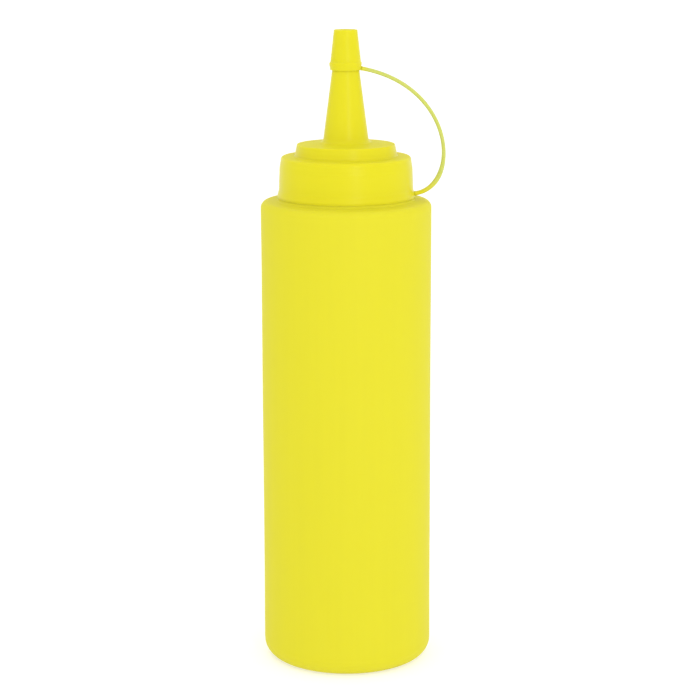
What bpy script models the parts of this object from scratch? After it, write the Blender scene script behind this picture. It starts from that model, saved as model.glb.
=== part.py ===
"""Squeeze sauce bottle with a screw cap, a cone nozzle and a tip cap on a moulded strap.

Metres, +Z up. The origin is the middle of the base, on the bottle's axis. The strap
lies in the XZ plane, on the +X side.
"""

import math

import bmesh
import bpy
from mathutils import Vector

# Bottle body
BODY_RADIUS = 0.0350
BODY_WALL = 0.0010
SHOULDER_HEIGHT = 0.1934
SHOULDER_EDGE = 0.0028
SHOULDER_RISE = 0.0004
STEP_INSET = 0.0003
STEP_GAP = 0.0004
BASE_EDGE = 0.0070
FOOT_WIDTH = 0.0050
PUSH_UP = 0.0009
PUSH_UP_SLOPE = 0.0015

# Bottle neck
NECK_RADIUS = 0.0248
NECK_WALL = 0.0015
NECK_LENGTH = 0.0157
NECK_ROOT_FILLET = 0.0006

# Screw thread, right hand
THREAD_LEAD = 0.00423
THREAD_STAND_OFF = 0.0011
THREAD_ABOVE_SHOULDER = 0.0058
NECK_THREAD_BELOW_RIM = 0.00355
CAP_THREAD_BELOW_RIM = 0.0025
CREST_CLEARANCE = 0.0003
ROOT_CLEARANCE = 0.00025
BEAD_RADIUS_PER_STAND_OFF = 0.9
BEAD_END_SCALE = 0.15
BEAD_END_STEPS = 6

# Screw cap
CAP_WALL = 0.0013
SKIRT_DRAFT = 0.0003
SKIRT_EDGE = 0.0014
SKIRT_TAPER = 0.0006
SKIRT_TAPER_HEIGHT = 0.0036
CEILING_EDGE = 0.0006
LIP_STAND_OFF = 0.0006
LIP_HEIGHT = 0.0022
LIP_FLARE_HEIGHT = 0.0009
LIP_BAND_HEIGHT = 0.0007
LIP_GAP = 0.0016
TIER_BASE_RADIUS = 0.0210
TIER_TOP_RADIUS = 0.0200
TIER_HEIGHT = 0.0050
TIER_WALL = 0.0014
SMALL_EDGE = 0.0005

# Nozzle
NOZZLE_BASE_RADIUS = 0.0094
NOZZLE_TIP_RADIUS = 0.0040
NOZZLE_LENGTH = 0.0415
NOZZLE_BASE_WALL = 0.0015
NOZZLE_TIP_WALL = 0.00105
NOZZLE_FILLET = 0.0006

# Sealing ring
LINER_THICKNESS = 0.0010
LINER_OVERHANG = 0.0020
MESH_GAP = 0.0003

# Tip cap
TIP_CAP_OVERLAP = 0.0117
TIP_CAP_LENGTH = 0.0162
TIP_CAP_LOW_WALL = 0.00085
TIP_CAP_HIGH_WALL = 0.00095
TIP_CAP_TOP_WALL = 0.0011
TIP_CAP_FIT = 0.00025
RIM_HEIGHT = 0.0033
RIM_STAND_OFF = 0.00035
RIM_DRAFT = 0.00025
RIM_EDGE = 0.0003
NUB_WIDTH = 0.0030
NUB_HEIGHT = 0.0018
NUB_STAND_OFF = 0.00015
NUB_EDGE = 0.00015

# Strap: one Bezier curve that leaves each end in a given direction with a given reach
STRAP_THICKNESS = 0.0016
STRAP_WIDTH = 0.0028
STRAP_ROOT_RISE = 0.0014
STRAP_ROOT_ANGLE = math.radians(8.2)
STRAP_ROOT_REACH = 0.0190
STRAP_TIP_RISE = 0.0007
STRAP_TIP_ANGLE = math.radians(-10.9)
STRAP_TIP_REACH = 0.0387
STRAP_POINTS = 36
STRAP_ROOT_SWELL = 0.4
STRAP_ROOT_SHARE = 0.15

# Worked out from the sizes above
RIM_Z = SHOULDER_HEIGHT + NECK_LENGTH
CAP_Z = SHOULDER_HEIGHT + LIP_GAP
LINER_Z = RIM_Z + MESH_GAP
NECK_BORE = NECK_RADIUS - NECK_WALL
CAP_BORE = NECK_RADIUS + THREAD_STAND_OFF + CREST_CLEARANCE
SKIRT_RADIUS = CAP_BORE + CAP_WALL
LIP_RADIUS = SKIRT_RADIUS + LIP_STAND_OFF
STEP_RADIUS = LIP_RADIUS - STEP_INSET
STEP_TOP = CAP_Z - STEP_GAP
CEILING = LINER_Z + LINER_THICKNESS + MESH_GAP - CAP_Z
CEILING_BORE = CAP_BORE - SKIRT_TAPER - CEILING_EDGE
SKIRT_HEIGHT = CEILING + CAP_WALL
TIER_TOP = SKIRT_HEIGHT + TIER_HEIGHT
NOZZLE_TOP = TIER_TOP + NOZZLE_LENGTH
NOZZLE_SLOPE = (NOZZLE_BASE_RADIUS - NOZZLE_TIP_RADIUS) / NOZZLE_LENGTH
TIP_CAP_Z = CAP_Z + NOZZLE_TOP - TIP_CAP_OVERLAP
TIP_CAP_MOUTH = NOZZLE_TIP_RADIUS + NOZZLE_SLOPE * TIP_CAP_OVERLAP + TIP_CAP_FIT
TIP_CAP_CEILING = TIP_CAP_LENGTH - TIP_CAP_TOP_WALL
TIP_CAP_LOW_RADIUS = TIP_CAP_MOUTH - NOZZLE_SLOPE * RIM_HEIGHT + TIP_CAP_LOW_WALL
RIM_RADIUS = TIP_CAP_LOW_RADIUS + RIM_STAND_OFF
THREAD_BEAD = THREAD_STAND_OFF * BEAD_RADIUS_PER_STAND_OFF
NECK_THREAD_RISE = NECK_LENGTH - THREAD_ABOVE_SHOULDER - NECK_THREAD_BELOW_RIM
CAP_THREAD_ABOVE_SHOULDER = THREAD_ABOVE_SHOULDER + THREAD_LEAD / 2
CAP_THREAD_RISE = NECK_LENGTH - CAP_THREAD_ABOVE_SHOULDER - CAP_THREAD_BELOW_RIM

TURN_STEPS = 48
SMALL_TURN_STEPS = 32
THREAD_STEPS_PER_TURN = 48
ARC_STEPS = 4
FILLET_START = 210
SHARP_ANGLE = math.radians(32)
MERGE = 0.00001

YELLOW = (0.847, 0.776, 0.041, 1.0)
CAP_YELLOW = (0.847, 0.768, 0.030, 1.0)
LINER_WHITE = (0.800, 0.790, 0.740, 1.0)


def clear_scene():
    for obj in list(bpy.data.objects):
        bpy.data.objects.remove(obj, do_unlink=True)


def new_collection(name):
    collection = bpy.data.collections.new(name)
    bpy.context.scene.collection.children.link(collection)
    return collection


def plastic(name, colour, roughness):
    material = bpy.data.materials.new(name)
    material.use_nodes = True
    shader = material.node_tree.nodes["Principled BSDF"]
    shader.inputs["Base Color"].default_value = colour
    shader.inputs["Roughness"].default_value = roughness
    shader.inputs["Metallic"].default_value = 0.0
    return material


def arc(centre, radius, start, end, steps=ARC_STEPS):
    """Points (r, z) on a round corner, between two angles in degrees."""
    angles = [math.radians(start + (end - start) * i / steps) for i in range(steps + 1)]
    return [
        (centre[0] + radius * math.cos(a), centre[1] + radius * math.sin(a)) for a in angles
    ]


def settle(obj):
    """Applies the modifiers, then shades the round faces smooth and leaves real edges sharp."""
    graph = bpy.context.evaluated_depsgraph_get()
    mesh = bpy.data.meshes.new_from_object(obj.evaluated_get(graph))
    mesh.name = obj.name
    obj.modifiers.clear()
    obj.data = mesh
    mesh.shade_smooth()
    mesh.set_sharp_from_angle(angle=SHARP_ANGLE)


def turned(name, profile, closed, material, collection, steps=TURN_STEPS):
    """Turns a profile of (r, z) points round Z. It runs down the outer side, top to bottom."""
    count = len(profile)
    edges = [(i, i + 1) for i in range(count - 1)]
    if closed:
        edges.append((count - 1, 0))
    mesh = bpy.data.meshes.new(name)
    mesh.from_pydata([(r, 0.0, z) for r, z in profile], edges, [])
    mesh.materials.append(material)
    obj = bpy.data.objects.new(name, mesh)
    collection.objects.link(obj)
    screw = obj.modifiers.new("turn", "SCREW")
    screw.axis = "Z"
    screw.steps = steps
    screw.render_steps = steps
    screw.use_merge_vertices = True
    screw.merge_threshold = MERGE
    screw.use_smooth_shade = True
    return obj


def mesh_from_curve(obj, collection):
    """Makes a curve a closed mesh object in the same place, with its caps welded on."""
    bpy.context.view_layer.update()
    graph = bpy.context.evaluated_depsgraph_get()
    mesh = bpy.data.meshes.new_from_object(obj.evaluated_get(graph))
    welded = bmesh.new()
    welded.from_mesh(mesh)
    bmesh.ops.remove_doubles(welded, verts=welded.verts, dist=MERGE)
    bmesh.ops.recalc_face_normals(welded, faces=welded.faces)
    welded.to_mesh(mesh)
    welded.free()
    name = obj.name
    place = obj.matrix_world.copy()
    bpy.data.objects.remove(obj, do_unlink=True)
    solid = bpy.data.objects.new(name, mesh)
    solid.matrix_world = place
    collection.objects.link(solid)
    return solid


def poly_curve(name, points, sizes, bevel_depth, collection, half_width=0.0):
    """A curve of straight stretches with filled caps; sizes scale its section at each point."""
    curve = bpy.data.curves.new(name, "CURVE")
    curve.dimensions = "3D"
    curve.twist_mode = "Z_UP"
    curve.bevel_depth = bevel_depth
    curve.bevel_resolution = 2
    curve.extrude = half_width
    curve.use_fill_caps = True
    spline = curve.splines.new("POLY")
    spline.points.add(len(points) - 1)
    for spot, place, size in zip(spline.points, points, sizes):
        spot.co = (*place, 1.0)
        spot.radius = size
    obj = bpy.data.objects.new(name, curve)
    collection.objects.link(obj)
    return obj


def thread(name, radius, start_z, rise, cutters):
    """A right-hand helical bead. Its ends taper down into the wall that it stands on."""
    turns = rise / THREAD_LEAD
    steps = round(turns * THREAD_STEPS_PER_TURN)
    points = []
    sizes = []
    for step in range(steps + 1):
        turn = turns * step / steps
        angle = 2.0 * math.pi * turn
        height = start_z + THREAD_LEAD * turn
        points.append((radius * math.cos(angle), radius * math.sin(angle), height))
        from_end = min(step, steps - step) / BEAD_END_STEPS
        sizes.append(min(1.0, BEAD_END_SCALE + from_end * (1.0 - BEAD_END_SCALE)))
    bead = mesh_from_curve(poly_curve(name, points, sizes, THREAD_BEAD, cutters), cutters)
    bead.hide_render = True
    bead.display_type = "WIRE"
    return bead


def join(obj, other):
    union = obj.modifiers.new("join_" + other.name, "BOOLEAN")
    union.operation = "UNION"
    union.object = other
    union.solver = "EXACT"


def body_profile():
    """The bottle's section: up the inside from the base, over the rim and down the outside."""
    inner_radius = BODY_RADIUS - BODY_WALL
    foot_inner = BODY_RADIUS - BASE_EDGE - FOOT_WIDTH
    shoulder_top = SHOULDER_HEIGHT + SHOULDER_RISE
    inner_edge = SHOULDER_EDGE - BODY_WALL
    inside_base = BASE_EDGE - BODY_WALL
    points = [(0.0, PUSH_UP + BODY_WALL)]
    points.append((foot_inner - PUSH_UP_SLOPE, PUSH_UP + BODY_WALL))
    points.append((foot_inner, BODY_WALL))
    points += arc((BODY_RADIUS - BASE_EDGE, BASE_EDGE), inside_base, -90, 0)
    inner_centre = (BODY_RADIUS - SHOULDER_EDGE, SHOULDER_HEIGHT - SHOULDER_EDGE)
    points += arc(inner_centre, inner_edge, 0, 90, 2)
    points.append((NECK_BORE, STEP_TOP - BODY_WALL))
    points.append((NECK_BORE, RIM_Z))
    points.append((NECK_RADIUS - SMALL_EDGE, RIM_Z))
    points.append((NECK_RADIUS, RIM_Z - SMALL_EDGE))
    fillet_centre = (NECK_RADIUS + NECK_ROOT_FILLET, STEP_TOP + NECK_ROOT_FILLET)
    points += arc(fillet_centre, NECK_ROOT_FILLET, 180, 270, 2)
    points.append((STEP_RADIUS - SMALL_EDGE / 2, STEP_TOP))
    points.append((STEP_RADIUS, STEP_TOP - SMALL_EDGE / 2))
    points.append((STEP_RADIUS, shoulder_top))
    points += arc(inner_centre, SHOULDER_EDGE, 90, 0)
    points += arc((BODY_RADIUS - BASE_EDGE, BASE_EDGE), BASE_EDGE, 0, -90, 2 * ARC_STEPS)
    points.append((foot_inner, 0.0))
    points.append((foot_inner - PUSH_UP_SLOPE, PUSH_UP))
    points.append((0.0, PUSH_UP))
    return points


def make_bottle(parts, cutters):
    bottle = turned("bottle", body_profile(), False, plastic("bottle_ldpe", YELLOW, 0.38), parts)
    bead_radius = NECK_RADIUS + THREAD_STAND_OFF - THREAD_BEAD
    start_z = SHOULDER_HEIGHT + THREAD_ABOVE_SHOULDER
    join(bottle, thread("neck_thread", bead_radius, start_z, NECK_THREAD_RISE, cutters))
    settle(bottle)
    return bottle


def cap_profile():
    """The cap's section from the lip at z = 0: nozzle down to the lip, then up the inside."""
    tier_bore = TIER_BASE_RADIUS - TIER_WALL
    tier_ceiling = TIER_TOP - TIER_WALL
    skirt_top = SKIRT_RADIUS - SKIRT_DRAFT
    taper_top = SKIRT_HEIGHT - SKIRT_EDGE
    taper_foot = taper_top - SKIRT_TAPER_HEIGHT
    points = [(NOZZLE_TIP_RADIUS - SMALL_EDGE / 2, NOZZLE_TOP)]
    points.append((NOZZLE_TIP_RADIUS, NOZZLE_TOP - SMALL_EDGE / 2))
    fillet_top = TIER_TOP + NOZZLE_FILLET
    points.append((NOZZLE_BASE_RADIUS - NOZZLE_SLOPE * NOZZLE_FILLET, fillet_top))
    fillet_centre = (NOZZLE_BASE_RADIUS + NOZZLE_FILLET, fillet_top)
    points += arc(fillet_centre, NOZZLE_FILLET, FILLET_START, 270, 2)
    points += arc((TIER_TOP_RADIUS - SMALL_EDGE, TIER_TOP - SMALL_EDGE), SMALL_EDGE, 90, 0, 2)
    points.append((TIER_BASE_RADIUS, SKIRT_HEIGHT))
    edge_centre = (skirt_top - SKIRT_TAPER - SKIRT_EDGE, taper_top)
    points += arc(edge_centre, SKIRT_EDGE, 90, 0)
    points.append((skirt_top - SKIRT_TAPER / 4, (taper_top + taper_foot) / 2))
    points.append((skirt_top, taper_foot))
    points.append((SKIRT_RADIUS, LIP_HEIGHT + LIP_FLARE_HEIGHT))
    points.append((SKIRT_RADIUS + LIP_STAND_OFF / 3, LIP_HEIGHT))
    points.append((LIP_RADIUS, LIP_BAND_HEIGHT))
    points.append((LIP_RADIUS, SMALL_EDGE / 2))
    points.append((LIP_RADIUS - SMALL_EDGE / 2, 0.0))
    points.append((CAP_BORE + SMALL_EDGE, 0.0))
    points.append((CAP_BORE, SMALL_EDGE))
    points.append((CAP_BORE, taper_foot))
    points.append((CAP_BORE - SKIRT_TAPER, CEILING - CEILING_EDGE))
    points.append((CEILING_BORE, CEILING))
    points.append((tier_bore, CEILING))
    tier_draft = TIER_BASE_RADIUS - TIER_TOP_RADIUS
    points.append((tier_bore - tier_draft, tier_ceiling))
    points.append((NOZZLE_BASE_RADIUS - NOZZLE_BASE_WALL, tier_ceiling))
    points.append((NOZZLE_TIP_RADIUS - NOZZLE_TIP_WALL, NOZZLE_TOP))
    return points


def make_screw_cap(parts, cutters):
    cap = turned("screw_cap", cap_profile(), True, plastic("cap_ldpe", CAP_YELLOW, 0.32), parts)
    bead_radius = NECK_RADIUS + ROOT_CLEARANCE + THREAD_BEAD
    start_z = SHOULDER_HEIGHT + CAP_THREAD_ABOVE_SHOULDER - CAP_Z
    join(cap, thread("cap_thread", bead_radius, start_z, CAP_THREAD_RISE, cutters))
    settle(cap)
    cap.location = (0.0, 0.0, CAP_Z)
    return cap


def make_cap_liner(parts):
    inner = NECK_BORE - LINER_OVERHANG
    outer = CEILING_BORE - MESH_GAP / 2
    section = [(inner, LINER_THICKNESS), (outer, LINER_THICKNESS), (outer, 0.0), (inner, 0.0)]
    liner = turned("cap_liner", section, True, plastic("liner_foam", LINER_WHITE, 0.70), parts)
    settle(liner)
    liner.location = (0.0, 0.0, LINER_Z)
    return liner


def tip_cap_profile():
    """The tip cap's section from its rim at z = 0: down the outside, then up the taper inside."""
    top_bore = TIP_CAP_MOUTH - NOZZLE_SLOPE * TIP_CAP_CEILING
    top_radius = top_bore + TIP_CAP_HIGH_WALL
    points = [(0.0, TIP_CAP_LENGTH)]
    points += arc((top_radius - SMALL_EDGE, TIP_CAP_LENGTH - SMALL_EDGE), SMALL_EDGE, 90, 0, 3)
    points.append((TIP_CAP_LOW_RADIUS, RIM_HEIGHT + RIM_EDGE))
    points.append((RIM_RADIUS, RIM_HEIGHT - RIM_EDGE))
    points.append((RIM_RADIUS - RIM_DRAFT, RIM_EDGE))
    points.append((RIM_RADIUS - RIM_DRAFT - RIM_EDGE / 2, 0.0))
    points.append((TIP_CAP_MOUTH, 0.0))
    points.append((top_bore, TIP_CAP_CEILING))
    points.append((0.0, TIP_CAP_CEILING))
    return points


def grip_nub(cutters):
    """A small block with rounded edges on the rim, opposite the strap."""
    wall = RIM_RADIUS - TIP_CAP_MOUTH
    outer = RIM_RADIUS + NUB_STAND_OFF
    inner = RIM_RADIUS - wall / 2
    solid = bmesh.new()
    bmesh.ops.create_cube(solid, size=1.0)
    bmesh.ops.scale(solid, vec=(outer - inner, NUB_WIDTH, NUB_HEIGHT), verts=solid.verts)
    bmesh.ops.bevel(
        solid, geom=solid.edges, offset=NUB_EDGE, segments=2, affect="EDGES", profile=0.5
    )
    mesh = bpy.data.meshes.new("grip_nub")
    solid.to_mesh(mesh)
    solid.free()
    nub = bpy.data.objects.new("grip_nub", mesh)
    nub.location = (-(outer + inner) / 2, 0.0, RIM_HEIGHT - RIM_EDGE - NUB_HEIGHT / 2)
    nub.hide_render = True
    nub.display_type = "WIRE"
    cutters.objects.link(nub)
    return nub


def make_tip_cap(parts, cutters):
    material = plastic("tip_cap_ldpe", CAP_YELLOW, 0.32)
    tip_cap = turned("tip_cap", tip_cap_profile(), False, material, parts, SMALL_TURN_STEPS)
    join(tip_cap, grip_nub(cutters))
    settle(tip_cap)
    tip_cap.location = (0.0, 0.0, TIP_CAP_Z)
    return tip_cap


def strap_route():
    """The strap's middle line as (x, z), from the skirt's lip up to the tip cap's rim."""
    root = Vector((LIP_RADIUS + MESH_GAP, CAP_Z + STRAP_ROOT_RISE))
    tip = Vector((RIM_RADIUS + MESH_GAP, TIP_CAP_Z + STRAP_TIP_RISE))
    root_way = Vector((math.cos(STRAP_ROOT_ANGLE), math.sin(STRAP_ROOT_ANGLE)))
    tip_way = Vector((math.cos(STRAP_TIP_ANGLE), math.sin(STRAP_TIP_ANGLE)))
    root_handle = root + STRAP_ROOT_REACH * root_way
    tip_handle = tip + STRAP_TIP_REACH * tip_way
    route = []
    for step in range(STRAP_POINTS + 1):
        t = step / STRAP_POINTS
        near = (1 - t) ** 3 * root + 3 * (1 - t) ** 2 * t * root_handle
        far = 3 * (1 - t) * t**2 * tip_handle + t**3 * tip
        route.append(near + far)
    return route


def make_tether_strap(parts):
    route = strap_route()
    sizes = []
    for step in range(len(route)):
        share = step / (len(route) - 1) / STRAP_ROOT_SHARE
        sizes.append(1.0 + STRAP_ROOT_SWELL * max(0.0, 1.0 - share) ** 2)
    points = [(place.x, place.y, 0.0) for place in route]
    half_thickness = STRAP_THICKNESS / 2
    half_flat = STRAP_WIDTH / 2 - half_thickness
    curve = poly_curve("tether_strap", points, sizes, half_thickness, parts, half_flat)
    curve.rotation_euler = (math.pi / 2, 0.0, 0.0)
    strap = mesh_from_curve(curve, parts)
    strap.data.materials.append(plastic("strap_ldpe", CAP_YELLOW, 0.30))
    strap.data.shade_smooth()
    strap.data.set_sharp_from_angle(angle=SHARP_ANGLE)
    return strap


def parent_in_place(child, parent):
    bpy.context.view_layer.update()
    child.parent = parent
    child.matrix_parent_inverse = parent.matrix_world.inverted()


def main():
    clear_scene()
    parts = new_collection("squeeze_sauce_bottle")
    cutters = new_collection("helper_solids")
    cutters.hide_render = True
    make_bottle(parts, cutters)
    make_cap_liner(parts)
    screw_cap = make_screw_cap(parts, cutters)
    tip_cap = make_tip_cap(parts, cutters)
    strap = make_tether_strap(parts)
    parent_in_place(tip_cap, screw_cap)
    parent_in_place(strap, screw_cap)


main()
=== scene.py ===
"""Looks of a squeeze sauce bottle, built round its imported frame.

Every piece is a numpy surface: a profile turned round the bottle's axis, or a section
carried along a curve. Lengths are in metres, +Z is up and the strap loops out on the +X
side. The camera stands in front, on the -Y side.
"""

import math

import bpy
import numpy as np
from mathutils import Matrix, Vector


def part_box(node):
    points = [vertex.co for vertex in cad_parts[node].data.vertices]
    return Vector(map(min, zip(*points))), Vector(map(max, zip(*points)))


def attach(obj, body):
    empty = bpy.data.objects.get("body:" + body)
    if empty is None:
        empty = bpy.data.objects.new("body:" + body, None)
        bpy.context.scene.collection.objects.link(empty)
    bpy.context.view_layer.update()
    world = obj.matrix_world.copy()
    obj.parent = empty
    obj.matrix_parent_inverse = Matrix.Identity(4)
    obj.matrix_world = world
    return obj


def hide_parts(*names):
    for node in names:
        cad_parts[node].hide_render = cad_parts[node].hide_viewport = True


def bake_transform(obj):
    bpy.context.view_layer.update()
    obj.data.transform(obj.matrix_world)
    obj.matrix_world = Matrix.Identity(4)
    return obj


bl_info = {
    "name": "Squeeze Sauce Bottle",
    "version": (1, 0, 0),
    "blender": (4, 5, 0),
    "location": "View3D > Sidebar > Squeeze Bottle",
    "description": "Moulded squeeze bottle with screw cap, cone nozzle and tethered tip cap",
    "category": "Add Mesh",
}

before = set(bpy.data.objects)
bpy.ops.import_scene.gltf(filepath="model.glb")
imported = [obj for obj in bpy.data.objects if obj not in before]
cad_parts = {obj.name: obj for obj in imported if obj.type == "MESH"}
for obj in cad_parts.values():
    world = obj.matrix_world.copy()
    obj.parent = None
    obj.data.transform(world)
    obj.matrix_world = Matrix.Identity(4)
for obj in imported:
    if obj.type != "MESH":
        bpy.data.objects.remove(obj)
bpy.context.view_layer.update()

BOTTLE_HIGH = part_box("bottle")[1]
CAP_LOW, CAP_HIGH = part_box("screw_cap")
LINER_LOW, LINER_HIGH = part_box("cap_liner")
TIP_LOW, TIP_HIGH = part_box("tip_cap")

BODY_RADIUS = BOTTLE_HIGH.y
RIM_Z = BOTTLE_HIGH.z
LIP_RADIUS = CAP_HIGH.y
LIP_Z = CAP_LOW.z
NOZZLE_END_Z = CAP_HIGH.z
TIP_RIM_RADIUS = TIP_HIGH.y

MM = 0.001
FULL_TURN = 2.0 * math.pi
FLOOR_REACH = 6.0
MATT_TOP_ROUGHNESS = 0.55


# ---------------------------------------------------------------------------
# Sizes and colours that a user would change
# ---------------------------------------------------------------------------


def length(name, description, default):
    return bpy.props.FloatProperty(
        name=name, description=description, default=default, unit="LENGTH", precision=5
    )


def colour(name, description, default):
    return bpy.props.FloatVectorProperty(
        name=name, description=description, default=default, subtype="COLOR", size=4,
        min=0.0, max=1.0,
    )


def factor(name, description, default):
    return bpy.props.FloatProperty(
        name=name, description=description, default=default, subtype="FACTOR",
        min=0.0, max=1.0,
    )


class BottleSettings(bpy.types.PropertyGroup):
    """Sizes and finish of the blow-moulded bottle."""

    wall: length("Wall", "Thickness of the blown wall", 1.0 * MM)
    shoulder_below_rim: length("Shoulder below rim", "Rim down to the shoulder", 15.7 * MM)
    shoulder_edge: length("Shoulder edge", "Radius of the shoulder's edge", 2.8 * MM)
    shoulder_rise: length("Shoulder rise", "Rise of the shoulder to the step", 0.7 * MM)
    step_inset: length("Step inset", "The cap's lip in to the step under it", 0.05 * MM)
    step_gap: length("Step gap", "Gap between the step and the cap's lip", 0.03 * MM)
    base_edge: length("Base edge", "Radius between the wall and the base", 7.0 * MM)
    foot_width: length("Foot ring", "Width of the flat ring that it stands on", 5.0 * MM)
    push_up: length("Push-up", "Height of the pushed-up middle of the base", 0.9 * MM)
    push_up_slope: length("Push-up slope", "Width of the slope round the push-up", 1.5 * MM)
    neck_radius: length("Neck radius", "Outside radius of the neck's wall", 24.8 * MM)
    neck_wall: length("Neck wall", "Thickness of the neck's wall", 1.5 * MM)
    seam_height: length("Seam height", "How far the mould's parting line stands up", 0.07 * MM)
    colour: colour("Colour", "Colour of the plastic", (0.672, 0.616, 0.025, 1.0))
    roughness: factor("Roughness", "Roughness of the blown surface", 0.55)


class LinerSettings(bpy.types.PropertyGroup):
    """The sealing ring between the neck's rim and the cap."""

    width: length("Width", "Width of the ring, bore to edge", 3.55 * MM)
    edge: length("Edge", "Radius of the ring's edges", 0.1 * MM)


class ScrewCapSettings(bpy.types.PropertyGroup):
    """Sizes and finish of the screw cap with its nozzle."""

    wall: length("Wall", "Thickness of the skirt", 1.3 * MM)
    lip_stand_off: length("Lip", "How far the bottom lip stands out", 0.6 * MM)
    lip_band: length("Lip band", "Height of the lip's upright band", 1.0 * MM)
    lip_flare: length("Lip flare", "Lip's bottom up to where it leaves the skirt", 3.2 * MM)
    skirt_height: length("Skirt height", "Lip up to the first tier's top", 17.0 * MM)
    taper: length("Taper", "How far the skirt draws in towards its top", 0.8 * MM)
    taper_height: length("Taper height", "Height of the part that draws in", 5.0 * MM)
    ceiling_edge: length("Ceiling edge", "Chamfer between the bore and the ceiling", 0.6 * MM)
    tier_base: length("Second tier base", "Radius at the second tier's foot", 21.0 * MM)
    tier_top: length("Second tier top", "Radius at the second tier's top", 20.0 * MM)
    tier_height: length("Second tier height", "Height of the second tier", 5.0 * MM)
    tier_wall: length("Second tier wall", "Thickness of the second tier", 1.4 * MM)
    nozzle_base: length("Nozzle base", "Radius of the nozzle's foot", 9.4 * MM)
    nozzle_tip: length("Nozzle tip", "Radius of the nozzle's end", 4.0 * MM)
    nozzle_wall: length("Nozzle wall", "Thickness of the nozzle's wall at its end", 1.05 * MM)
    nozzle_base_wall: length("Nozzle base wall", "Its thickness at the foot", 1.5 * MM)
    colour: colour("Colour", "Colour of the plastic", (0.680, 0.618, 0.015, 1.0))
    roughness: factor("Roughness", "Roughness of the moulded surface", 0.30)


class ThreadSettings(bpy.types.PropertyGroup):
    """The screw thread that the neck and the cap share."""

    lead: length("Lead", "Rise in one turn", 4.23 * MM)
    neck_start: length("Neck start", "Shoulder up to the start of the neck's thread", 5.8 * MM)
    neck_rise: length("Neck rise", "Rise of the neck's whole thread", 6.35 * MM)
    cap_rise: length("Cap rise", "Rise of the cap's whole thread", 5.285 * MM)
    neck_stand_off: length("Neck ridge", "How far the neck's ridge stands out", 1.1 * MM)
    cap_stand_off: length("Cap ridge", "How far the cap's ridge stands in", 1.15 * MM)


class TipCapSettings(bpy.types.PropertyGroup):
    """Sizes of the small cap on the nozzle's end."""

    rim_height: length("Rim height", "Height of the rim band", 3.3 * MM)
    rim_stand_off: length("Rim", "How far the rim stands out from the taper", 0.35 * MM)
    rim_draft: length("Rim draft", "How far the rim draws in towards the mouth", 0.25 * MM)
    top_radius: length("Top radius", "Radius at the closed end", 4.76 * MM)
    mouth_radius: length("Mouth radius", "Radius of the open end", 5.772 * MM)
    bore_top_radius: length("Bore top radius", "Inside radius at the closed end", 3.808 * MM)
    top_wall: length("Top wall", "Thickness of the closed end", 1.1 * MM)
    nub_stand_off: length("Nub", "How far the grip nub stands out from the rim", 0.15 * MM)


class StrapSettings(bpy.types.PropertyGroup):
    """Route and section of the moulded strap."""

    thickness: length("Thickness", "Thickness of the strap", 1.55 * MM)
    width: length("Width", "Width of the strap", 2.8 * MM)
    root_rise: length("Root rise", "Height of the root above the lip's bottom", 1.4 * MM)
    root_reach: length("Root reach", "Reach of the curve's handle at the root", 19.0 * MM)
    tip_rise: length("Tip rise", "Height of the end above the tip cap's rim", 0.5 * MM)
    tip_reach: length("Tip reach", "Reach of the curve's handle at the tip cap", 38.7 * MM)
    clearance: length("Clearance", "Where the curve starts beside the moulding", 0.3 * MM)
    root_angle: bpy.props.FloatProperty(
        name="Root angle", description="Slope of the strap as it leaves the skirt",
        default=math.radians(8.2), unit="ROTATION",
    )
    tip_angle: bpy.props.FloatProperty(
        name="Tip angle", description="Slope of the strap as it leaves the tip cap",
        default=math.radians(-10.9), unit="ROTATION",
    )
    # Darker and greener than the cap: partly the thin strap's own look, partly painted shade
    # standing in for the darkening along its edges.
    colour: colour("Colour", "Colour of the thin plastic", (0.530, 0.565, 0.130, 1.0))
    roughness: factor("Roughness", "Roughness of the strap", 0.40)


class StudioSettings(bpy.types.PropertyGroup):
    """Camera and light."""

    camera_distance: length("Camera distance", "Camera to the bottle's axis", 0.900)
    camera_height: length("Camera height", "Camera above the floor", 0.318)
    camera_pitch: bpy.props.FloatProperty(
        name="Camera pitch", description="How far the camera looks down",
        default=math.radians(11.47), unit="ROTATION",
    )
    camera_roll: bpy.props.FloatProperty(
        name="Camera roll", description="Turn of the camera about its own axis",
        default=math.radians(-0.15), unit="ROTATION",
    )
    lens: bpy.props.FloatProperty(
        name="Lens", description="Focal length in millimetres on a 36 mm sensor",
        default=113.8, min=20.0, max=400.0,
    )
    shift_x: bpy.props.FloatProperty(
        name="Shift X", description="Sideways shift of the frame", default=0.0051
    )
    shift_y: bpy.props.FloatProperty(
        name="Shift Y", description="Upward shift of the frame", default=-0.0151
    )
    sky: bpy.props.FloatProperty(
        name="Surround light", description="Strength of the white surround", default=1.12
    )
    key: bpy.props.FloatProperty(
        name="Key light", description="Power of the front light", default=2.8, unit="POWER"
    )
    top: bpy.props.FloatProperty(
        name="Top light", description="Power of the high light", default=0.6, unit="POWER"
    )


# ---------------------------------------------------------------------------
# Profiles: arrays of (r, z) points that run down the outer side, top to bottom
# ---------------------------------------------------------------------------


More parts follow.
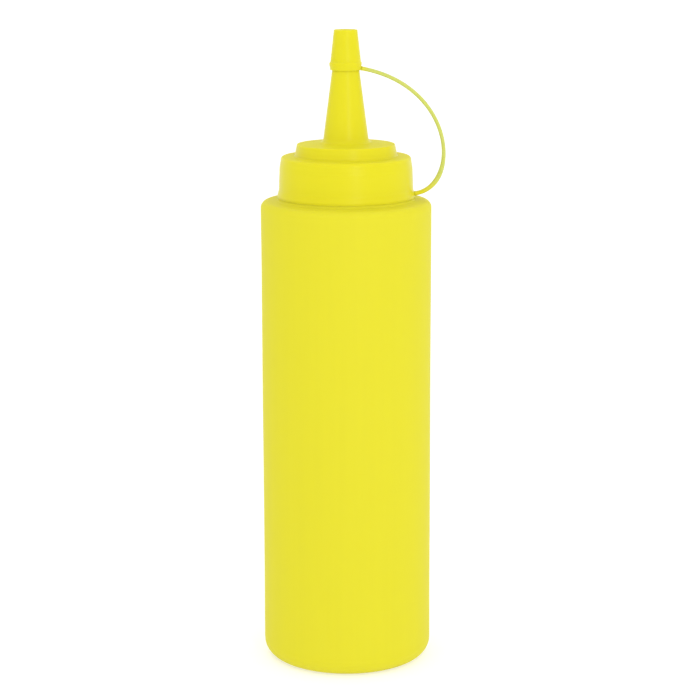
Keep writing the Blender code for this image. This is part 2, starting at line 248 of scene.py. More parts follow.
def rounded(corners, radii, steps=7, guard=0.12 * MM):
    """Rounds each corner of an open or closed outline with an arc.

    At a corner P with unit ways a and b to its neighbours and half angle h between them,
    the arc of radius R starts and ends at P + a R / tan h and P + b R / tan h, and its
    centre is P + (a + b) / |a + b| R / sin h. A point at the guard distance on each side
    keeps the shading of the flat beside it flat. A corner of radius 0 stays as it is.
    """
    corners = np.asarray(corners, float)
    points = []
    count = len(corners)
    for index, radius in enumerate(radii):
        here = corners[index]
        if radius == 0.0:
            points.append(here[None])
            continue
        back = corners[index - 1] - here
        ahead = corners[(index + 1) % count] - here
        a = back / np.linalg.norm(back)
        b = ahead / np.linalg.norm(ahead)
        half = 0.5 * math.acos(float(np.clip(a @ b, -1.0, 1.0)))
        reach = radius / math.tan(half)
        centre = here + (a + b) / np.linalg.norm(a + b) * radius / math.sin(half)
        start = here + a * reach - centre
        end = here + b * reach - centre
        sweep = math.pi - 2.0 * half
        way = math.copysign(1.0, start[0] * end[1] - start[1] * end[0])
        turn = np.linspace(0.0, sweep, steps + 1) * way
        arc_r = centre[0] + start[0] * np.cos(turn) - start[1] * np.sin(turn)
        arc_z = centre[1] + start[0] * np.sin(turn) + start[1] * np.cos(turn)
        before = here + a * (reach + guard)
        after = here + b * (reach + guard)
        points.append(np.vstack([before, np.column_stack([arc_r, arc_z]), after]))
    return np.vstack(points)


def refined(profile, limits):
    """Cuts each stretch k of a profile into ceil(length / limits[k]) equal pieces."""
    step = np.diff(profile, axis=0)
    pieces = np.ceil(np.linalg.norm(step, axis=1) / limits).astype(int).clip(1)
    index = np.repeat(np.arange(len(step)), pieces)
    first = np.repeat(np.cumsum(pieces) - pieces, pieces)
    share = (np.arange(pieces.sum()) - first) / pieces[index]
    inner = profile[index] + share[:, None] * step[index]
    return np.vstack([inner, profile[-1]])


def stretch_limits(profile, radius, low, high, fine, coarse):
    """The longest piece allowed on each stretch: fine on the upright wall at a radius."""
    middle = 0.5 * (profile[1:] + profile[:-1])
    on_wall = (
        (np.abs(middle[:, 0] - radius) < 0.02 * MM)
        & (middle[:, 1] > low)
        & (middle[:, 1] < high)
    )
    return np.where(on_wall, fine, coarse)


def smooth(x):
    """0 below 0, 1 above 1, and 3 x^2 - 2 x^3 between."""
    x = np.clip(x, 0.0, 1.0)
    return x * x * (3.0 - 2.0 * x)


def angles(count, seams=(0.0, math.pi)):
    """Angles round the axis: count even steps, and four close ones on each side of a seam."""
    even = np.arange(count) * FULL_TURN / count
    close = np.radians([-0.75, -0.5, -0.3, -0.12, 0.12, 0.3, 0.5, 0.75])
    extra = [np.mod(seam + close, FULL_TURN) for seam in seams]
    return np.unique(np.concatenate([even, *extra]).round(9))


def away_from(theta, middle):
    """Signed angle from a direction, between minus and plus half a turn."""
    return (theta - middle + math.pi) % FULL_TURN - math.pi


def thread_ridge(theta, z, start, rise, lead):
    """Height, 0 to 1, of a right-hand helical ridge at each point of a grid.

    The ridge's middle line is at z = start + lead t after t turns, 0 <= t <= rise / lead.
    A point takes the turn nearest to it, t = theta / 2 pi + k with whole k. Across the
    ridge the height is 1 - smooth((|d| - 0.3 mm) / 0.75 mm), with d the distance along z
    from the middle line. Along it the ends ease in over a tenth of a turn.
    """
    share = theta / FULL_TURN
    k = np.round((z - start) / lead - share)
    turn = share + k
    d = np.abs(z - start - lead * turn)
    across = 1.0 - smooth((d - 0.3 * MM) / (0.75 * MM))
    ends = smooth(turn / 0.1) * smooth((rise / lead - turn) / 0.1)
    return across * ends


# ---------------------------------------------------------------------------
# Meshes
# ---------------------------------------------------------------------------


def new_piece(name, points, faces, material):
    """A mesh object at the origin, shaded smooth, with its place in its points.

    The attribute looks_up is 0 where the surface is upright or steep and 1 where it is
    level and faces up: smooth((n - 0.75) / 0.22), with n the upward part of the normal.
    """
    mesh = bpy.data.meshes.new(name)
    mesh.from_pydata(points.tolist(), [], faces)
    mesh.validate()
    mesh.polygons.foreach_set("use_smooth", np.ones(len(mesh.polygons), bool))
    mesh.materials.append(material)
    mesh.update()
    normals = np.empty(3 * len(mesh.vertices))
    mesh.vertices.foreach_get("normal", normals)
    looks_up = mesh.attributes.new("looks_up", "FLOAT", "POINT")
    looks_up.data.foreach_set("value", smooth((normals[2::3] - 0.75) / 0.22))
    piece = bpy.data.objects.new(name, mesh)
    bpy.context.scene.collection.objects.link(piece)
    return piece


def grid_faces(rows, columns, wrap_rows):
    """Four-sided faces of a grid whose columns close into a ring, and its rows if asked."""
    last = rows if wrap_rows else rows - 1
    i = np.arange(last)[:, None]
    j = np.arange(columns)[None, :]
    below = (i + 1) % rows
    beside = (j + 1) % columns
    corners = [
        i * columns + j, below * columns + j, below * columns + beside, i * columns + beside
    ]
    return np.stack(corners, axis=-1).reshape(-1, 4)


def tube_faces(rows, columns):
    """Faces of a tube of rows by columns points, with a fan over each end.

    The middle points of the two fans come after the tube's own points.
    """
    j = np.arange(columns)
    beside = (j + 1) % columns
    first = rows * columns
    last_row = (rows - 1) * columns
    start_fan = np.column_stack([np.full(columns, first), j, beside])
    end_fan = np.column_stack([np.full(columns, first + 1), last_row + beside, last_row + j])
    return grid_faces(rows, columns, False).tolist() + start_fan.tolist() + end_fan.tolist()


def turned_piece(name, r, z, theta, material, closed):
    """Turns rows of radius r and height z round the axis: (r cos theta, r sin theta, z).

    r and z have one row for each point of the profile and one column for each angle. A
    closed profile joins its last row to its first. An open one starts and ends on the
    axis, where one point closes each end.
    """
    if not closed:
        pole_z = (z[0].mean(), z[-1].mean())
        r, z = r[1:-1], z[1:-1]
    rows, columns = r.shape
    points = np.stack([r * np.cos(theta), r * np.sin(theta), z], axis=-1).reshape(-1, 3)
    if closed:
        return new_piece(name, points, grid_faces(rows, columns, True).tolist(), material)
    points = np.vstack([points, [0.0, 0.0, pole_z[0]], [0.0, 0.0, pole_z[1]]])
    return new_piece(name, points, tube_faces(rows, columns), material)


# ---------------------------------------------------------------------------
# Materials
# ---------------------------------------------------------------------------


class Nodes:
    """Adds and links nodes in one material."""

    def __init__(self, name):
        self.material = bpy.data.materials.new(name)
        self.material.use_nodes = True
        self.tree = self.material.node_tree
        self.shader = self.tree.nodes["Principled BSDF"]
        coordinates = self.tree.nodes.new("ShaderNodeTexCoord")
        self.place = coordinates.outputs["Object"]

    def add(self, kind, **settings):
        node = self.tree.nodes.new(kind)
        for key, value in settings.items():
            setattr(node, key, value)
        return node

    def link(self, output, socket):
        self.tree.links.new(output, socket)

    def noise(self, per_metre, detail=2.0, roughness=0.5):
        """Noise whose features repeat about per_metre times a metre on each axis."""
        mapping = self.add("ShaderNodeMapping")
        mapping.inputs["Scale"].default_value = per_metre
        self.link(self.place, mapping.inputs["Vector"])
        noise = self.add("ShaderNodeTexNoise")
        noise.inputs["Scale"].default_value = 1.0
        noise.inputs["Detail"].default_value = detail
        noise.inputs["Roughness"].default_value = roughness
        self.link(mapping.outputs["Vector"], noise.inputs["Vector"])
        return noise.outputs["Fac"]

    def ramp(self, value, low, high):
        """Maps 0 to 1 onto low to high."""
        node = self.add("ShaderNodeMapRange")
        node.inputs["To Min"].default_value = low
        node.inputs["To Max"].default_value = high
        self.link(value, node.inputs["Value"])
        return node.outputs["Result"]

    def looks_up(self):
        """0 on upright faces, 1 on level ones, as new_piece wrote them on the mesh."""
        return self.add("ShaderNodeAttribute", attribute_name="looks_up").outputs["Fac"]

    def near(self, point, reach):
        """1 at a point, easing to 0 at the reach from it."""
        distance = self.add("ShaderNodeVectorMath", operation="DISTANCE")
        distance.inputs[1].default_value = point
        self.link(self.place, distance.inputs[0])
        node = self.add("ShaderNodeMapRange", interpolation_type="SMOOTHSTEP")
        node.inputs["From Max"].default_value = reach
        node.inputs["To Min"].default_value = 1.0
        node.inputs["To Max"].default_value = 0.0
        self.link(distance.outputs["Value"], node.inputs["Value"])
        return node.outputs["Result"]

    def mix(self, value, first, second, data_type="RGBA"):
        """Goes from first to second as value goes from 0 to 1.

        Each of the two is another node's output or a constant.
        """
        node = self.add("ShaderNodeMix", data_type=data_type)
        self.link(value, node.inputs["Factor"])
        for key, item in (("A", first), ("B", second)):
            if isinstance(item, bpy.types.NodeSocket):
                self.link(item, node.inputs[key])
            else:
                node.inputs[key].default_value = item
        return node.outputs["Result"]

    def bump(self, height, distance, normal=None):
        """A bump of the given depth in metres, laid over another one if there is one."""
        node = self.add("ShaderNodeBump")
        node.inputs["Strength"].default_value = 1.0
        node.inputs["Distance"].default_value = distance
        self.link(height, node.inputs["Height"])
        if normal is not None:
            self.link(normal, node.inputs["Normal"])
        return node.outputs["Normal"]


def shaded(colour_value, share):
    """A colour darkened to a share of itself, alpha kept."""
    return (*(channel * share for channel in colour_value[:3]), colour_value[3])


def soft_polyethylene(name, base, roughness, streaks, grain, grain_depth, ends=()):
    """Milky soft plastic: light spreads a few millimetres under a satin skin.

    Faces that look up are matt, as the end plates of the moulds are left rough. streaks
    are (x, y, z) repeats a metre of the drawn-out colour and gloss variation, and grain is
    the repeats a metre of the fine texture of the mould. ends are points, each with a
    reach and the colour that the plastic turns to there.
    """
    nodes = Nodes(name)
    shader = nodes.shader
    drawn = nodes.noise(streaks, detail=3.0)
    tint = nodes.mix(drawn, shaded(base, 0.965), base)
    for point, reach, end_tint in ends:
        tint = nodes.mix(nodes.near(point, reach), tint, end_tint)
    nodes.link(tint, shader.inputs["Base Color"])
    rough = nodes.ramp(drawn, roughness - 0.05, roughness + 0.05)
    rough = nodes.mix(nodes.looks_up(), rough, MATT_TOP_ROUGHNESS, "FLOAT")
    nodes.link(rough, shader.inputs["Roughness"])
    broad = nodes.bump(nodes.noise((45.0, 45.0, 22.0), detail=1.0), 0.10 * MM)
    fine = nodes.noise((grain, grain, grain), detail=1.0)
    nodes.link(nodes.bump(fine, grain_depth, broad), shader.inputs["Normal"])
    shader.inputs["Subsurface Weight"].default_value = 0.3
    shader.inputs["Subsurface Radius"].default_value = (1.0, 0.85, 0.12)
    shader.inputs["Subsurface Scale"].default_value = 2.0 * MM
    shader.inputs["IOR"].default_value = 1.51
    shader.inputs["Specular IOR Level"].default_value = 0.10
    return nodes.material


def closed_cell_foam(name):
    """Off-white foam sheet with fine open cells on its cut faces."""
    nodes = Nodes(name)
    shader = nodes.shader
    cells = nodes.add("ShaderNodeTexVoronoi", feature="F1")
    cells.inputs["Scale"].default_value = 3500.0
    nodes.link(nodes.place, cells.inputs["Vector"])
    distance = cells.outputs["Distance"]
    tint = nodes.mix(distance, (0.86, 0.85, 0.80, 1.0), (0.70, 0.69, 0.63, 1.0))
    nodes.link(tint, shader.inputs["Base Color"])
    nodes.link(nodes.ramp(distance, 0.65, 0.85), shader.inputs["Roughness"])
    nodes.link(nodes.bump(distance, 0.06 * MM), shader.inputs["Normal"])
    shader.inputs["Specular IOR Level"].default_value = 0.25
    return nodes.material


def studio_floor():
    """Matt white paper with a barely visible mottle."""
    nodes = Nodes("studio_floor")
    shader = nodes.shader
    mottle = nodes.noise((6.0, 6.0, 6.0), detail=2.0)
    tint = nodes.mix(mottle, (0.59, 0.59, 0.59, 1.0), (0.61, 0.61, 0.61, 1.0))
    nodes.link(tint, shader.inputs["Base Color"])
    nodes.link(nodes.ramp(mottle, 0.80, 0.90), shader.inputs["Roughness"])
    shader.inputs["Specular IOR Level"].default_value = 0.15
    shader.inputs["Emission Color"].default_value = (1.0, 1.0, 1.0, 1.0)
    shader.inputs["Emission Strength"].default_value = 0.48
    return nodes.material


# ---------------------------------------------------------------------------
# Pieces
# ---------------------------------------------------------------------------


def bottle_profile(s):
    """Up the inside from the middle of the base, over the rim and down the outside."""
    shoulder = RIM_Z - s.shoulder_below_rim
    inner = BODY_RADIUS - s.wall
    bore = s.neck_radius - s.neck_wall
    foot = BODY_RADIUS - s.base_edge - s.foot_width
    step = LIP_RADIUS - s.step_inset
    step_top = LIP_Z - s.step_gap
    inner_edge = max(s.shoulder_edge - s.wall, 0.3 * MM)
    corners = [
        (0.0, s.push_up + s.wall),
        (foot - s.push_up_slope, s.push_up + s.wall),
        (foot, s.wall),
        (inner, s.wall),
        (inner, shoulder - s.wall),
        (bore, step_top - s.wall),
        (bore, RIM_Z),
        (s.neck_radius, RIM_Z),
        (s.neck_radius, step_top),
        (step, step_top),
        (step, shoulder + s.shoulder_rise),
        (BODY_RADIUS, shoulder),
        (BODY_RADIUS, 0.0),
        (foot, 0.0),
        (foot - s.push_up_slope, s.push_up),
        (0.0, s.push_up),
    ]
    base_inner = s.base_edge - s.wall
    radii = [
        0.0, 2.0 * MM, 2.0 * MM, base_inner, inner_edge, 1.2 * MM, 0.35 * MM, 0.35 * MM,
        0.6 * MM, 0.05 * MM, 0.6 * MM, s.shoulder_edge, s.base_edge, 2.0 * MM, 2.0 * MM, 0.0,
    ]
    return rounded(corners, radii, steps=9)


def make_bottle(s, screw):
    """The bottle's turned wall, with the neck's thread and the mould's parting line.

    The outer wall also wavers by a few hundredths of a millimetre, as blown walls do:
    0.02 sin(3 theta + 40 z) + 0.015 sin(5 theta - 65 z), in millimetres. The parting line
    is a ridge of height seam_height exp(-(d / 0.22)^2), with d the distance from it in
    millimetres. Both are taken inwards to stay within the body's radius, and fade out near
    the shoulder and the base.
    """
    profile = bottle_profile(s)
    shoulder = RIM_Z - s.shoulder_below_rim
    limits = stretch_limits(profile, s.neck_radius, shoulder, RIM_Z, 0.2 * MM, 4.0 * MM)
    profile = refined(profile, limits)
    theta = angles(256)
    r, z = (np.repeat(column[:, None], len(theta), axis=1) for column in profile.T)
    outside = r > BODY_RADIUS - 0.5 * s.wall
    fade = smooth((z - 15.0 * MM) / 0.02) * smooth((shoulder - 8.0 * MM - z) / 0.02)
    waver = 0.02 * np.sin(3.0 * theta + 40.0 * z) + 0.015 * np.sin(5.0 * theta - 65.0 * z)
    highest_waver = 0.035
    on_neck = (np.abs(r - s.neck_radius) < 0.02 * MM) & (z > shoulder) & (z < RIM_Z)
    ridge = thread_ridge(theta, z, shoulder + screw.neck_start, screw.neck_rise, screw.lead)
    nearest_seam = np.minimum(
        np.abs(away_from(theta, 0.0)), np.abs(away_from(theta, math.pi))
    )
    seam = np.exp(-((nearest_seam * r / (0.22 * MM)) ** 2)) * s.seam_height
    relief = (waver - highest_waver) * MM + seam - s.seam_height
    r = r + np.where(outside, relief * fade, 0.0)
    r = r + np.where(on_neck, ridge * screw.neck_stand_off, 0.0)
    material = soft_polyethylene(
        "blown_polyethylene", s.colour, s.roughness, (320.0, 320.0, 9.0), 2600.0, 0.012 * MM
    )
    return turned_piece("bottle_shell", r, z, theta, material, closed=False)


def make_pinch_off(s, material):
    """The ridge under the base where the mould pinched the parison shut.

    It runs along X through the middle: a half ellipse 0.35 mm wide each way and 0.3 mm
    deep, whose depth fades as 1 - (x / reach)^4 to nothing at its ends.
    """
    reach = BODY_RADIUS - s.base_edge - s.foot_width - 4.0 * MM
    x = np.linspace(-reach, reach, 61)[:, None]
    turn = np.linspace(0.0, FULL_TURN, 17)[None, :-1]
    depth = 0.3 * MM * (1.0 - (x / reach) ** 4) + 0.01 * MM
    y = 0.35 * MM * np.cos(turn) * np.sqrt(depth / (0.31 * MM))
    z = s.push_up + depth * np.sin(turn)
    points = np.stack(np.broadcast_arrays(x, y, z), axis=-1)
    return swept_piece("base_pinch_off", points, material)


def swept_piece(name, points, material):
    """Closes a grid of sections into a tube with a flat fan at each end."""
    ends = [points[0].mean(axis=0), points[-1].mean(axis=0)]
    faces = tube_faces(*points.shape[:2])
    if tube_volume(points) < 0.0:
        faces = [face[::-1] for face in faces]
    return new_piece(name, np.vstack([points.reshape(-1, 3), ends]), faces, material)


def tube_volume(points):
    """Sign of the volume of a tube of sections, from the faces of its side alone."""
    middle = points.mean(axis=1, keepdims=True)
    along = np.roll(points, -1, axis=0)[:-1] - points[:-1]
    around = np.roll(points, -1, axis=1)[:-1] - points[:-1]
    outward = points[:-1] - middle[:-1]
    return float((np.cross(along, around) * outward).sum())


def make_liner(s, material):
    """A flat ring with its edges broken."""
    inner = LINER_HIGH.y - s.width
    corners = [
        (inner, LINER_HIGH.z), (LINER_HIGH.y, LINER_HIGH.z),
        (LINER_HIGH.y, LINER_LOW.z), (inner, LINER_LOW.z),
    ]
    profile = rounded(corners, [s.edge] * 4, steps=3, guard=0.05 * MM)
    theta = angles(192, seams=())
    r, z = (np.repeat(column[:, None], len(theta), axis=1) for column in profile.T)
    return turned_piece("sealing_ring", r, z, theta, material, closed=True)


def screw_cap_profile(s):
    """From the nozzle's mouth down the outside to the lip, then up the inside to the mouth.

    The skirt is upright up to the taper's foot and draws in above it. The tops of both
    tiers fall a little towards their edges, so that sauce runs off them.
    """
    skirt = LIP_RADIUS - s.lip_stand_off
    bore = skirt - s.wall
    first_tier = LIP_Z + s.skirt_height
    second_tier = first_tier + s.tier_height
    ceiling = first_tier - s.wall
    taper_foot = first_tier - s.taper_height
    draft = s.tier_base - s.tier_top
    mouth = s.nozzle_tip - s.nozzle_wall
    tier_bore = s.tier_base - s.tier_wall
    foot_rise, second_fall, first_fall = 0.4 * MM, 0.25 * MM, 0.3 * MM
    corners = [
        (mouth, NOZZLE_END_Z),
        (s.nozzle_tip, NOZZLE_END_Z),
        (s.nozzle_base, second_tier + foot_rise),
        (s.tier_top, second_tier - second_fall),
        (s.tier_base, first_tier),
        (skirt - s.taper - 0.1 * MM, first_tier - first_fall),
        (skirt - s.taper, first_tier - 1.9 * MM),
        (skirt - 0.375 * s.taper, taper_foot),
        (skirt, LIP_Z + s.lip_flare),
        (LIP_RADIUS, LIP_Z + s.lip_band),
        (LIP_RADIUS, LIP_Z),
        (bore, LIP_Z),
        (bore, taper_foot),
        (bore - s.ceiling_edge, ceiling - s.ceiling_edge),
        (bore - 2.0 * s.ceiling_edge, ceiling),
        (tier_bore, ceiling),
        (tier_bore - draft, second_tier - s.tier_wall),
        (s.nozzle_base - s.nozzle_base_wall, second_tier - s.tier_wall),
    ]
    radii = [
        0.15 * MM, 0.3 * MM, 2.4 * MM, 0.4 * MM, 0.5 * MM, 1.2 * MM, 1.5 * MM, 9.0 * MM,
        4.0 * MM, 0.5 * MM, 0.15 * MM, 0.5 * MM, 4.0 * MM, 0.4 * MM, 0.4 * MM, 0.4 * MM,
        0.4 * MM, 0.8 * MM,
    ]
    return rounded(corners, radii, steps=7)


def make_screw_cap(s, screw, bottle, material):
    """Skirt, two tiers and cone nozzle in one turned piece, with the thread inside it."""
    profile = screw_cap_profile(s)
    profile = np.vstack([profile, profile[:1]])
    bore = LIP_RADIUS - s.lip_stand_off - s.wall
    limits = stretch_limits(profile, bore, LIP_Z, LIP_Z + s.skirt_height, 0.2 * MM, 2.0 * MM)
    profile = refined(profile, limits)[:-1]
    theta = angles(240, seams=())
    r, z = (np.repeat(column[:, None], len(theta), axis=1) for column in profile.T)
    shoulder = RIM_Z - bottle.shoulder_below_rim
    start = shoulder + screw.neck_start + 0.5 * screw.lead
    ridge = thread_ridge(theta, z, start, screw.cap_rise, screw.lead)
    on_bore = np.abs(r - bore) < 0.02 * MM
    r = r - np.where(on_bore, ridge * screw.cap_stand_off, 0.0)
    return turned_piece("screw_cap_shell", r, z, theta, material, closed=True)


def make_tip_cap(s, material):
    """The tapered tip cap with its rim band, and a grip nub opposite the strap.

    The nub lifts the rim by nub_stand_off times smooth windows about 3 mm wide round the
    rim and 2 mm high.
    """
    low, high = TIP_LOW.z, TIP_HIGH.z
    rim_top = low + s.rim_height
    shaft = TIP_RIM_RADIUS - s.rim_stand_off
    ceiling = high - s.top_wall
    corners = [
        (0.0, high),
        (s.top_radius, high),
        (shaft, rim_top + 0.1 * MM),
        (TIP_RIM_RADIUS, rim_top - 0.35 * MM),
        (TIP_RIM_RADIUS - s.rim_draft, low),
        (s.mouth_radius, low),
        (s.bore_top_radius, ceiling),
        (0.0, ceiling),
    ]
    radii = [0.0, 0.4 * MM, 0.3 * MM, 0.3 * MM, 0.2 * MM, 0.15 * MM, 0.4 * MM, 0.0]
    profile = rounded(corners, radii, steps=7, guard=0.08 * MM)
    limits = stretch_limits(profile, TIP_RIM_RADIUS, low, rim_top, 0.15 * MM, 1.0 * MM)
    profile = refined(profile, limits)
    theta = angles(128, seams=(math.pi,))
    r, z = (np.repeat(column[:, None], len(theta), axis=1) for column in profile.T)
    around = np.abs(away_from(theta, math.pi)) * TIP_RIM_RADIUS
    nub_top = rim_top - 0.3 * MM
    window = smooth((1.6 * MM - around) / (0.5 * MM))
    window = window * smooth((nub_top - z) / (0.25 * MM))
    window = window * smooth((z - nub_top + 2.2 * MM) / (0.8 * MM))
    outside = r > s.mouth_radius + 0.2 * MM
    r = r + np.where(outside, window * s.nub_stand_off, 0.0)
    return turned_piece("tip_cap_shell", r, z, theta, material, closed=False)


def bezier(ends, handles, t):
    """Cubic curve (1-t)^3 A + 3 (1-t)^2 t H + 3 (1-t) t^2 K + t^3 B, and its tangents."""
    t = t[:, None]
    a, b = ends
    h, k = handles
    u = 1.0 - t
    place = u**3 * a + 3.0 * u**2 * t * h + 3.0 * u * t**2 * k + t**3 * b
    way = 3.0 * u**2 * (h - a) + 6.0 * u * t * (k - h) + 3.0 * t**2 * (b - k)
    return place, way / np.linalg.norm(way, axis=1, keepdims=True)


def make_strap(s, material):
    """A flat strap with rounded edges carried along a cubic curve in the XZ plane.

    The curve starts and ends just clear of the two mouldings, and a straight end 0.7 mm
    long carries the strap into each of them. The section is the superellipse
    |x/a|^3.2 + |y/b|^3.2 = 1, with a half the thickness and b half the width. Both swell
    a little at the two ends, as 1 + g exp(-d / reach) with d the distance along the strap.
    The lower bend, where the strap works hardest, is thicker by 0.3 exp(-((d - 12) / 7)^2)
    with d in millimetres from the root.
    """
    root = np.array([LIP_RADIUS + s.clearance, LIP_Z + s.root_rise])
    tip = np.array([TIP_RIM_RADIUS + s.clearance, TIP_LOW.z + s.tip_rise])
    root_way = np.array([math.cos(s.root_angle), math.sin(s.root_angle)])
    tip_way = np.array([math.cos(s.tip_angle), math.sin(s.tip_angle)])
    handles = (root + s.root_reach * root_way, tip + s.tip_reach * tip_way)
    t = smooth(np.linspace(0.0, 1.0, 181)) * 0.6 + np.linspace(0.0, 1.0, 181) * 0.4
    place, way = bezier((root, tip), handles, t)
    buried = 0.7 * MM
    place = np.vstack([root - buried * root_way, place, tip - buried * tip_way])
    way = np.vstack([way[:1], way, way[-1:]])
    along = np.concatenate([[0.0], np.cumsum(np.linalg.norm(np.diff(place, axis=0), axis=1))])
    left = along[-1] - along
    thick = 1.0 + 0.30 * np.exp(-(((along - 12.0 * MM) / (7.0 * MM)) ** 2))
    thick = thick + 0.25 * np.exp(-along / (0.6 * MM)) + 0.15 * np.exp(-left / (0.8 * MM))
    wide = 1.0 + 0.3 * np.exp(-along / (1.5 * MM)) + 0.2 * np.exp(-left / (1.0 * MM))
    turn = np.linspace(0.0, FULL_TURN, 33)[:-1]
    power = 2.0 / 3.2
    ring_x = np.sign(np.cos(turn)) * np.abs(np.cos(turn)) ** power
    ring_y = np.sign(np.sin(turn)) * np.abs(np.sin(turn)) ** power
    side = np.column_stack([-way[:, 1], way[:, 0]])
    off = 0.5 * s.thickness * thick[:, None] * ring_x
    x = place[:, :1] + side[:, :1] * off
    z = place[:, 1:] + side[:, 1:] * off
    y = 0.5 * s.width * wide[:, None] * ring_y
    return swept_piece("strap_moulding", np.stack([x, y, z], axis=-1), material)


# ---------------------------------------------------------------------------
# Operators
# ---------------------------------------------------------------------------


def cap_polyethylene(scene):
    """The finish of the injection-moulded pieces, made once."""
    found = bpy.data.materials.get("moulded_polyethylene")
    if found is not None:
        return found
    s = scene.squeeze_cap
    return soft_polyethylene(
        "moulded_polyethylene", s.colour, s.roughness, (90.0, 90.0, 40.0), 4200.0, 0.004 * MM
    )


class SQUEEZE_OT_bottle(bpy.types.Operator):
    """Make the blown bottle with its threaded neck and pushed-up base"""

    bl_idname = "squeeze.bottle"
    bl_label = "Bottle"

    def execute(self, context):
        scene = context.scene
        shell = make_bottle(scene.squeeze_bottle, scene.squeeze_thread)
        pinch = make_pinch_off(scene.squeeze_bottle, shell.data.materials[0])
        for piece in (shell, pinch):
            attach(piece, "bottle")
        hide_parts("bottle")
        return {"FINISHED"}


class SQUEEZE_OT_liner(bpy.types.Operator):
    """Make the foam sealing ring inside the screw cap"""

    bl_idname = "squeeze.liner"
    bl_label = "Sealing ring"

    def execute(self, context):
        ring = make_liner(context.scene.squeeze_liner, closed_cell_foam("liner_foam"))
        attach(ring, "liner")
        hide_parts("cap_liner")
        return {"FINISHED"}


class SQUEEZE_OT_screw_cap(bpy.types.Operator):
    """Make the screw cap with its two tiers and cone nozzle"""

    bl_idname = "squeeze.screw_cap"
    bl_label = "Screw cap"

    def execute(self, context):
        scene = context.scene
        shell = make_screw_cap(
            scene.squeeze_cap, scene.squeeze_thread, scene.squeeze_bottle,
            cap_polyethylene(scene),
        )
        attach(shell, "cap")
        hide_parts("screw_cap")
        return {"FINISHED"}


class SQUEEZE_OT_tip_cap(bpy.types.Operator):
    """Make the small cap on the nozzle's end"""

    bl_idname = "squeeze.tip_cap"
    bl_label = "Tip cap"

    def execute(self, context):
        shell = make_tip_cap(context.scene.squeeze_tip_cap, cap_polyethylene(context.scene))
        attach(shell, "tip_cap")
        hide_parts("tip_cap")
        return {"FINISHED"}


class SQUEEZE_OT_strap(bpy.types.Operator):
    """Make the strap that ties the tip cap to the screw cap"""

    bl_idname = "squeeze.strap"
    bl_label = "Strap"

    def execute(self, context):
        s = context.scene.squeeze_strap
        cap_colour = tuple(context.scene.squeeze_cap.colour)
        root = (LIP_RADIUS, 0.0, LIP_Z + s.root_rise)
        tip = (TIP_RIM_RADIUS, 0.0, TIP_LOW.z + s.tip_rise)
        # The strap's colour holds painted shade of its edges as well as its thin look; near the
        # root and the tip it eases back to the cap's colour.
        material = soft_polyethylene(
            "strap_polyethylene_painted_edge_shade", s.colour, s.roughness, (90.0, 400.0, 90.0), 4200.0, 0.004 * MM,
            ends=((root, 14.0 * MM, cap_colour), (tip, 4.0 * MM, cap_colour)),
        )
        strap = make_strap(s, material)
        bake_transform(strap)
        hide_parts("tether_strap")
        return {"FINISHED"}


def area_light(name, place, target, size, power):
    """A rectangle of light that faces a target, and that the camera doesn't see."""
    light = bpy.data.lights.new(name, "AREA")
    light.shape = "RECTANGLE"
    light.size, light.size_y = size
    light.energy = power
    lamp = bpy.data.objects.new(name, light)
    lamp.location = place
    way = Vector(target) - Vector(place)
    lamp.rotation_euler = way.to_track_quat("-Z", "Y").to_euler()
    lamp.visible_camera = False
    bpy.context.scene.collection.objects.link(lamp)


class SQUEEZE_OT_studio(bpy.types.Operator):
    """Make the pale floor, the soft light and the camera"""

    bl_idname = "squeeze.studio"
    bl_label = "Studio"

    def execute(self, context):
        scene = context.scene
        s = scene.squeeze_studio
        scene.view_settings.view_transform = "Standard"
        corners = np.array([(-1.0, -1.0, 0.0), (1.0, -1.0, 0.0), (1.0, 1.0, 0.0), (-1.0, 1.0, 0.0)])
        points = FLOOR_REACH * corners
        new_piece("floor", points, [(0, 1, 2, 3)], studio_floor())
        world = bpy.data.worlds.new("white_surround")
        world.use_nodes = True
        background = world.node_tree.nodes["Background"]
        background.inputs["Color"].default_value = (1.0, 1.0, 1.0, 1.0)
        background.inputs["Strength"].default_value = s.sky
        scene.world = world
        middle = (0.0, 0.0, 0.16)
        area_light("key", (0.40, -1.26, 0.42), middle, (0.06, 0.60), s.key)
        area_light("top", (0.20, -1.00, 0.90), middle, (0.35, 0.35), s.top)
        camera = bpy.data.cameras.new("camera")
        camera.sensor_width = 36.0
        camera.lens = s.lens
        camera.shift_x = s.shift_x
        camera.shift_y = s.shift_y
        rig = bpy.data.objects.new("camera", camera)
        scene.collection.objects.link(rig)
        tilt = Matrix.Rotation(0.5 * math.pi - s.camera_pitch, 4, "X")
        roll = Matrix.Rotation(s.camera_roll, 4, "Z")
        place = Matrix.Translation((0.0, -s.camera_distance, s.camera_height))
        rig.matrix_world = place @ tilt @ roll
        scene.camera = rig
        return {"FINISHED"}


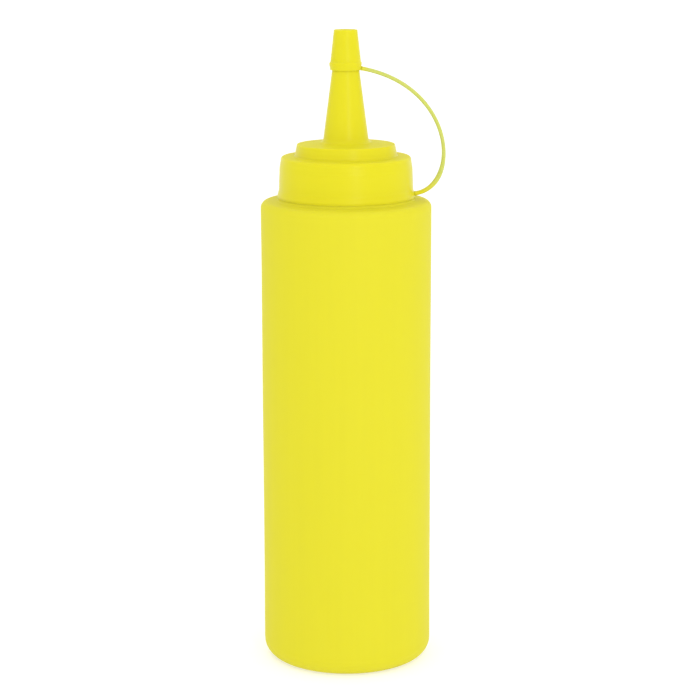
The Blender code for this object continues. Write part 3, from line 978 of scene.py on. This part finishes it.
class SQUEEZE_PT_panel(bpy.types.Panel):
    """Sizes, finishes and the steps that make the bottle"""

    bl_label = "Squeeze Bottle"
    bl_idname = "SQUEEZE_PT_panel"
    bl_space_type = "VIEW_3D"
    bl_region_type = "UI"
    bl_category = "Squeeze Bottle"

    def draw(self, context):
        for title, group, steps in SECTIONS:
            box = self.layout.box()
            box.label(text=title)
            settings = getattr(context.scene, group)
            for key in settings.__annotations__:
                box.prop(settings, key)
            for step in steps:
                box.operator(step.bl_idname)


GROUPS = {
    "squeeze_bottle": BottleSettings,
    "squeeze_thread": ThreadSettings,
    "squeeze_liner": LinerSettings,
    "squeeze_cap": ScrewCapSettings,
    "squeeze_tip_cap": TipCapSettings,
    "squeeze_strap": StrapSettings,
    "squeeze_studio": StudioSettings,
}
OPERATORS = (
    SQUEEZE_OT_bottle,
    SQUEEZE_OT_liner,
    SQUEEZE_OT_screw_cap,
    SQUEEZE_OT_tip_cap,
    SQUEEZE_OT_strap,
    SQUEEZE_OT_studio,
)
SECTIONS = (
    ("Bottle", "squeeze_bottle", (SQUEEZE_OT_bottle,)),
    ("Screw thread", "squeeze_thread", ()),
    ("Sealing ring", "squeeze_liner", (SQUEEZE_OT_liner,)),
    ("Screw cap", "squeeze_cap", (SQUEEZE_OT_screw_cap,)),
    ("Tip cap", "squeeze_tip_cap", (SQUEEZE_OT_tip_cap,)),
    ("Strap", "squeeze_strap", (SQUEEZE_OT_strap,)),
    ("Studio", "squeeze_studio", (SQUEEZE_OT_studio,)),
)


def register():
    for group in GROUPS.values():
        bpy.utils.register_class(group)
    for name, group in GROUPS.items():
        setattr(bpy.types.Scene, name, bpy.props.PointerProperty(type=group))
    for operator in OPERATORS:
        bpy.utils.register_class(operator)
    bpy.utils.register_class(SQUEEZE_PT_panel)


def unregister():
    bpy.utils.unregister_class(SQUEEZE_PT_panel)
    for operator in reversed(OPERATORS):
        bpy.utils.unregister_class(operator)
    for name in GROUPS:
        delattr(bpy.types.Scene, name)
    for group in reversed(GROUPS.values()):
        bpy.utils.unregister_class(group)


def main():
    """Makes every piece and the studio."""
    register()
    bpy.ops.squeeze.bottle()
    bpy.ops.squeeze.liner()
    bpy.ops.squeeze.screw_cap()
    bpy.ops.squeeze.tip_cap()
    bpy.ops.squeeze.strap()
    bpy.ops.squeeze.studio()


if __name__ == "__main__":
    main()
